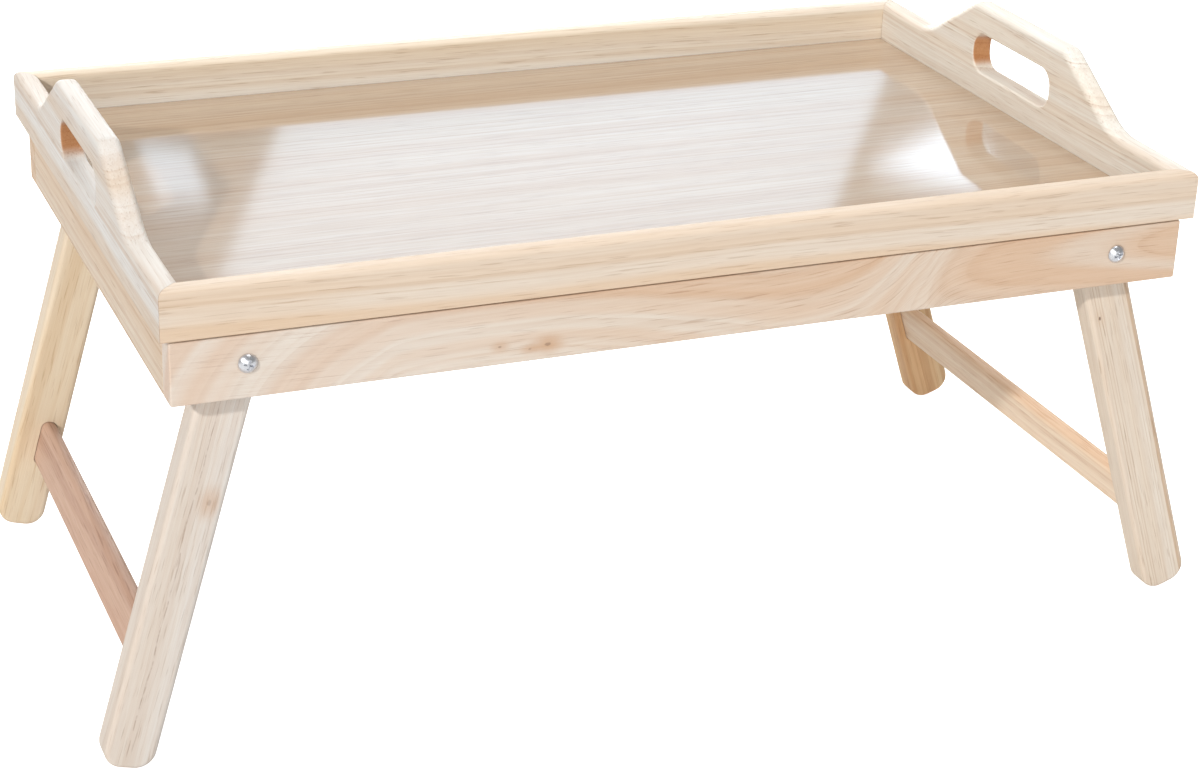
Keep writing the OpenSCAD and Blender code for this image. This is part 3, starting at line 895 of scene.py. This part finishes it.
# %% [markdown]
# ## Legs and stretchers
# A leg is a flat lath with a round head for the pivot and a foot with rounded corners. All its long
# edges are rounded over for the hands that fold it. On each broad face the longest loop of sharp
# edges is the outline, and that loop gets the round. The pivot hole and the mortise are shorter
# loops, so they keep their crisp edges. The stretchers are made afresh from a block with its long
# edges rounded over. How far a leg leans is its joint's travel past a right angle.

# %% Legs
LEG_ROUND = 2.6 * MM
lean = {joint["child"]: math.radians(joint["range_deg"][1] - 90) for joint in frame["joints"]}
print("legs lean by", {body: round(math.degrees(angle), 2) for body, angle in lean.items()}, "degrees")


def leg(node):
    """A leg with the outline of both broad faces rounded over."""
    low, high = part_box(node)
    mesh = welded(node)
    for face_y in (low.y, high.y):
        rim = arrises(mesh, lambda e: all(abs(v.co.y - face_y) < WELD for v in e.verts))
        round_over(mesh, outer_loop(rim), LEG_ROUND, steps=5)
    return mesh


def down_the_leg(body):
    """Direction from a leg's pivot to its foot."""
    outwards = -1 if body == "left_legs" else 1
    return Vector((outwards * math.sin(lean[body]), 0, -math.cos(lean[body])))


LEG_WOOD = dict(slant=(0.0, math.radians(1.5)), band_width=14 * MM, wander=5 * MM, warm_streaks=0.6,
                fibre_lines=0.55, pore_marks=0.32)
leg_looks = {
    "front_left_leg": dict(
        heart=(0.0, 0.02, 0.05), pale_wood=shade(212, 207, 201), warm_wood=shade(207, 192, 176),
        late_wood=shade(182, 154, 130), ring_width=4.0 * MM, ring_lines=0.22,
        marks=[knot((-25, -7.5, 5.3), size=1.1, dot=0.25, stain=0.4), hairline(across=-1.5, dark=0.4)]),
    "back_left_leg": dict(
        heart=(0.02, 0.05, -0.03), pale_wood=shade(219, 207, 190), warm_wood=shade(211, 188, 152),
        late_wood=shade(192, 157, 114), ring_width=5.0 * MM, ring_lines=0.3),
    "front_right_leg": dict(
        heart=(0.0, -0.01, 0.12), pale_wood=shade(216, 206, 193), warm_wood=shade(210, 189, 164),
        late_wood=shade(171, 135, 101), ring_width=2.6 * MM, ring_lines=0.55,
        marks=[knot((-58, -7.5, -7.6), size=0.7, dot=0.8, stain=0.15)]),
    # This leg's more orange tone is the wood's own. Its paleness is partly painted light, to make up for the
    # tray's shade on it.
    "back_right_leg": dict(
        heart=(0.03, 0.02, 0.05), pale_wood=shade(221, 195, 155), warm_wood=shade(219, 169, 118),
        late_wood=shade(184, 129, 81), ring_width=4.0 * MM, ring_lines=0.5),
}
for node, look in leg_looks.items():
    wood = wood_material(node, down_the_leg(frame["nodes"][node]["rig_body"]), **LEG_WOOD, **look)
    report_piece(finished_piece(leg(node), node, wood))

# %% Stretchers
STRETCHER_THICK = 8 * MM
STRETCHER_WIDE = 24 * MM
STRETCHER_ROUND = 3.5 * MM


def stretcher(node):
    """A block along Y with its four long edges rounded over, leaning with its legs."""
    low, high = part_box(node)
    body = frame["nodes"][node]["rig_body"]
    turn = Matrix.Rotation((1 if body == "left_legs" else -1) * lean[body], 4, "Y")
    size = Matrix.Diagonal((STRETCHER_THICK, high.y - low.y, STRETCHER_WIDE, 1))
    mesh = bmesh.new()
    bmesh.ops.create_cube(mesh, size=1.0, matrix=size)
    long_edges = [e for e in mesh.edges if abs(e.verts[0].co.y - e.verts[1].co.y) > STRETCHER_WIDE]
    round_over(mesh, long_edges, STRETCHER_ROUND, steps=6)
    bmesh.ops.transform(mesh, matrix=Matrix.Translation((low + high) / 2) @ turn, verts=mesh.verts)
    return mesh


STRETCHER_WOOD = dict(slant=(0.0, math.radians(1.0)), ring_width=3.4 * MM, band_width=12 * MM,
                      wander=6 * MM, warm_streaks=0.7, ring_lines=0.3, fibre_lines=0.6,
                      pore_marks=0.32)
for node, heart, pale, warm, late in (
        ("left_stretcher", (0.0, 0.03, 0.02),
         shade(198, 166, 145), shade(188, 148, 124), shade(149, 104, 80)),
        # The right stretcher's colours are painted light: much paler than the left one's, to make up for the
        # tray's shade on it.
        ("right_stretcher", (0.05, -0.03, 0.03),
         shade(231, 213, 190), shade(221, 186, 151), shade(187, 137, 97))):
    wood = wood_material(node, ALONG_Y, heart, pale_wood=pale, warm_wood=warm, late_wood=late,
                         **STRETCHER_WOOD)
    report_piece(finished_piece(stretcher(node), node, wood))

# %% [markdown]
# ## Veneered floor
# The floor panel is thin board faced with straight-grained veneer under a clear satin lacquer. The
# lacquer is what mirrors the studio's white panels in a soft, milky way. It is the shader's Coat, a
# second clear surface over the wood. Its values are set on the shader's own sockets.

# %% Floor panel
VENEER_HEART = (0.03, 0.62, -0.08)
VENEER_SLANT = (0.0, math.radians(0.5))
VENEER_RELIEF = (0.1, 0.05 * MM)
FIELD_ROUND = 0.2 * MM
LACQUER = {"Coat Weight": 1.0, "Coat Roughness": 0.075, "Coat IOR": 1.6}

panel_material, tree, shader = start_material("lacquered_veneer")
place, direction, along = into_log(tree, "tray_floor", ALONG_X, VENEER_HEART, VENEER_SLANT)
veneer = use_group(tree, raw_wood, log_place=place, fibre_place=place, surface_direction=direction,
                   grain_direction=along, ring_width=5.5 * MM, band_width=34 * MM, wander=5 * MM,
                   pale_wood=shade(177, 158, 135), warm_wood=shade(169, 142, 113),
                   late_wood=shade(142, 107, 77), warm_streaks=0.7, ring_lines=0.42,
                   fibre_lines=0.8, pore_marks=0.325)
tree.links.new(veneer["Colour"], shader.inputs["Base Color"])
tree.links.new(veneer["Roughness"], shader.inputs["Roughness"])
for socket, value in LACQUER.items():
    shader.inputs[socket].default_value = value
add_relief(tree, shader, veneer["Height"], *VENEER_RELIEF)

mesh = welded("tray_floor")
panel_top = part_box("tray_floor")[1].z
field_edges = arrises(mesh, lambda e: all(v.co.z > panel_top - WELD for v in e.verts))
round_over(mesh, field_edges, FIELD_ROUND, steps=2)
report_piece(finished_piece(mesh, "tray_floor", panel_material))

# %% [markdown]
# ## Zinc screws, washers and steel brads
# The screws are bright zinc: a metal with a faint cloudy variation from the plating bath and fine
# turning marks. The dome and its cross recess come from the CAD model. The recess gets a tiny
# round, because a stamped edge is never sharp, and that is what makes the cross readable.

# %% Zinc and steel
PLATING_CLOUDS = (260.0, 260.0, 260.0)
TURNING_MARKS = (2600.0, 500.0, 2600.0)
TONE_LIMITS = (0.35, 0.7)
SHINE_LIMITS = (0.3, 0.7)
METAL_RELIEF = (0.12, 0.03 * MM)


def metal_material(name, colour, worn, smooth, rough):
    """Plated metal: two tones in clouds, with a roughness that follows them, and fine marks."""
    material, tree, shader = start_material(name)
    own = tree.nodes.new("ShaderNodeTexCoord").outputs["Object"]
    clouds = cloud(tree, stretch(tree, own, PLATING_CLOUDS), detail=3.0, roughness=0.6)
    marks = cloud(tree, stretch(tree, own, TURNING_MARKS))
    tone = mix_colours(tree, ease_between(tree, clouds, *TONE_LIMITS), colour, worn)
    tree.links.new(tone, shader.inputs["Base Color"])
    shine = ease_between(tree, clouds, *SHINE_LIMITS, smooth, rough)
    tree.links.new(shine, shader.inputs["Roughness"])
    shader.inputs["Metallic"].default_value = 1.0
    add_relief(tree, shader, marks, *METAL_RELIEF)
    return material


zinc = metal_material("bright_zinc", shade(224, 226, 230), shade(198, 200, 206), 0.24, 0.38)
steel = metal_material("brad_steel", shade(178, 176, 172), shade(148, 145, 140), 0.3, 0.5)
print("metals:", zinc.name, "and", steel.name)

# %% Screws, washers and brads
STAMPED_ROUND = {"_pivot_screw": (0.1 * MM, 2), "_washer": (0.25 * MM, 3)}
for corner in ("front_left", "back_left", "front_right", "back_right"):
    for kind, (radius, steps) in STAMPED_ROUND.items():
        mesh = welded(corner + kind)
        round_over(mesh, arrises(mesh), radius, steps)
        report_piece(finished_piece(mesh, corner + kind, zinc))

for node in ("mitre_brads", "floor_brads", "apron_brads", "left_stretcher_brads", "right_stretcher_brads"):
    data = frame["nodes"][node].data
    data.materials.clear()
    data.materials.append(steel)
print("brads keep their CAD shape")

# %% [markdown]
# ## Studio
# The table stands on a white sweep. It glows at full strength for the camera only, which keeps the
# background white, and much less for everything else, so it lights the wood from below only a
# little. Light Path tells the two apart. From underneath the sweep is clear, so that the underside
# can be looked at.

# %% White sweep and world
SWEEP_LIGHT = 0.36
SWEEP_REACH = 14.0
SWEEP_TONES = (shade(184, 184, 184), shade(190, 190, 190))
SWEEP_CLOUDS = (3.0, 3.0, 3.0)
SKY_LIGHT = 0.35
WHITE = (1.0, 1.0, 1.0, 1.0)

sweep_material, tree, shader = start_material("white_sweep")
own = tree.nodes.new("ShaderNodeTexCoord").outputs["Object"]
tone = mix_colours(tree, cloud(tree, stretch(tree, own, SWEEP_CLOUDS)), *SWEEP_TONES)
tree.links.new(tone, shader.inputs["Base Color"])
for socket, value in {"Roughness": 0.9, "Specular IOR Level": 0.1, "Emission Color": WHITE}.items():
    shader.inputs[socket].default_value = value
seen = tree.nodes.new("ShaderNodeLightPath").outputs["Is Camera Ray"]
tree.links.new(ease_between(tree, seen, 0.0, 1.0, SWEEP_LIGHT, 1.0), shader.inputs["Emission Strength"])
under = tree.nodes.new("ShaderNodeNewGeometry").outputs["Backfacing"]
see_through = tree.nodes.new("ShaderNodeMixShader")
clear = tree.nodes.new("ShaderNodeBsdfTransparent")
tree.links.new(under, see_through.inputs["Fac"])
tree.links.new(shader.outputs["BSDF"], see_through.inputs[1])
tree.links.new(clear.outputs["BSDF"], see_through.inputs[2])
tree.links.new(see_through.outputs["Shader"], tree.nodes["Material Output"].inputs["Surface"])

sweep_mesh = bmesh.new()
bmesh.ops.create_grid(sweep_mesh, x_segments=4, y_segments=4, size=SWEEP_REACH)
sweep_data = bpy.data.meshes.new("sweep")
sweep_mesh.to_mesh(sweep_data)
sweep_mesh.free()
sweep_data.materials.append(sweep_material)
sweep = bpy.data.objects.new("sweep", sweep_data)
bpy.context.scene.collection.objects.link(sweep)

world = bpy.data.worlds.new("studio")
world.use_nodes = True
world.node_tree.nodes["Background"].inputs["Color"].default_value = WHITE
world.node_tree.nodes["Background"].inputs["Strength"].default_value = SKY_LIGHT
bpy.context.scene.world = world
bpy.context.scene.view_settings.view_transform = "Standard"
print("sweep", SWEEP_REACH * 2, "m wide")

# %% [markdown]
# ## Lights and reflected panels
# The key light is a small warm-white sun, low from the front left. A wide softbox hangs overhead, a
# cool one stands high at the back right and hides from reflections, and two plain ones stand low
# behind the table and low in front of it.
#
# The milky glare on the lacquer is the mirror image of faintly blue glowing panels behind the set.
# Each panel is placed by following the sight line to the glare's outline on the floor panel and on
# by mirror reflection, to the plane of the panels. The far side of the floor shows a panel's lower
# end, so the names say low and high as they are on the panel.

# %% Lights
def add_light(name, kind, energy, place, target, **settings):
    """A light of a kind, turned to look at a target."""
    data = bpy.data.lights.new(name, kind)
    data.energy = energy
    for setting, value in settings.items():
        setattr(data, setting, value)
    light = bpy.data.objects.new(name, data)
    light.location = place
    light.rotation_euler = (Vector(target) - Vector(place)).to_track_quat("-Z", "Y").to_euler()
    bpy.context.scene.collection.objects.link(light)
    return light


KEY_TRAVEL = Vector((1.17, 1.0, -0.88))
KEY_POWER = 1.85
KEY_ANGLE = math.radians(2.5)
WARM_WHITE = (1.0, 0.985, 0.96)
COOL_WHITE = (0.88, 1.0, 1.1)
SOFTBOXES = (  # name, watts, place, width, height and the rest
    ("overhead_softbox", 38.0, (0.2, 0.3, 2.4), 2.2, 1.6, {}),
    ("back_softbox", 12.0, (1.2, 1.8, 1.2), 1.4, 0.8, {"color": COOL_WHITE}),
    ("low_back_softbox", 29.0, (0.2, 2.2, 0.55), 1.8, 0.45, {}),
    ("front_softbox", 12.0, (-0.8, -2.0, 0.7), 1.8, 1.1, {}))

centre = (cad_low + cad_high) / 2
add_light("key", "SUN", KEY_POWER, centre - 2 * KEY_TRAVEL, centre, angle=KEY_ANGLE, color=WARM_WHITE)
for name, watts, place, width, height, settings in SOFTBOXES:
    softbox = add_light(name, "AREA", watts, place, centre, shape="RECTANGLE", size=width,
                        size_y=height, **settings)
    softbox.visible_glossy = name != "back_softbox"
slope = math.asin(-KEY_TRAVEL.z / KEY_TRAVEL.length)
print("key light", round(math.degrees(slope)), "degrees above the ground")

# %% Reflected panels
PANEL_PLANE_Y = 2.2
BEHIND = Vector((0.0, 0.02, 0.0))
DAYLIGHT = (0.8, 1.0, 1.2, 1.0)
PANEL_GLOW = {"large_panel": 1.9, "small_panel": 4.6, "slim_panel": 2.6, "dim_panel": 0.28}
floor_low, floor_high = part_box("tray_floor")


def mirrored(share_x, share_y):
    """Where the mirrored sight line through a place on the lacquer meets the panels' plane."""
    spot = Vector((floor_low.x + share_x * (floor_high.x - floor_low.x),
                   floor_low.y + share_y * (floor_high.y - floor_low.y), floor_high.z))
    ray = spot - CAMERA_PLACE
    ray.z = -ray.z
    return spot + ray * ((PANEL_PLANE_Y - spot.y) / ray.y)


def glow_material(name, strength):
    """A faintly blue glow, like daylight in a window."""
    material = bpy.data.materials.new(name + "_glow")
    material.use_nodes = True
    nodes = material.node_tree.nodes
    nodes.clear()
    glow = nodes.new("ShaderNodeEmission")
    glow.inputs["Color"].default_value = DAYLIGHT
    glow.inputs["Strength"].default_value = strength
    end = nodes.new("ShaderNodeOutputMaterial")
    material.node_tree.links.new(glow.outputs["Emission"], end.inputs["Surface"])
    return material


def add_panel(name, corners):
    """A glowing panel from its corners in the panels' plane. The camera doesn't see it."""
    mesh = bmesh.new()
    mesh.faces.new([mesh.verts.new(corner) for corner in corners])
    data = bpy.data.meshes.new(name)
    mesh.to_mesh(data)
    mesh.free()
    data.materials.append(glow_material(name, PANEL_GLOW[name]))
    panel = bpy.data.objects.new(name, data)
    panel.visible_camera = False
    panel.visible_shadow = False
    bpy.context.scene.collection.objects.link(panel)


# Places on the lacquer are shares of the floor panel's length and depth, from its front left corner.
PAST_LEFT, PAST_RIGHT, PAST_TOP = 0.6, 1.2, 0.8
low_left, high_left = mirrored(0.27, 0.95), mirrored(0.055, 0.12)
low_right, high_right = mirrored(0.9, 0.7), mirrored(0.66, 0.12)
add_panel("large_panel", [low_left + (low_left - high_left) * PAST_LEFT,
                          low_right + (low_right - high_right) * PAST_RIGHT,
                          high_right + (high_right - low_right) * PAST_TOP,
                          high_left + (high_left - low_left) * PAST_TOP])
SMALL_PATCH = ((0.899, 0.457), (0.896, 0.27), (0.84, 0.185), (0.76, 0.33))
SLIM_PATCH = ((0.08, 0.8), (0.125, 0.72), (0.11, 0.48), (0.065, 0.52))
DIM_PATCH = ((-0.05, 0.0), (0.24, 0.0), (0.24, 0.6), (-0.05, 0.7))
add_panel("small_panel", [mirrored(*share) for share in SMALL_PATCH])
add_panel("slim_panel", [mirrored(*share) for share in SLIM_PATCH])
add_panel("dim_panel", [mirrored(*share) + BEHIND for share in DIM_PATCH])
print("large panel from", [round(c, 2) for c in low_left], "to", [round(c, 2) for c in high_right])
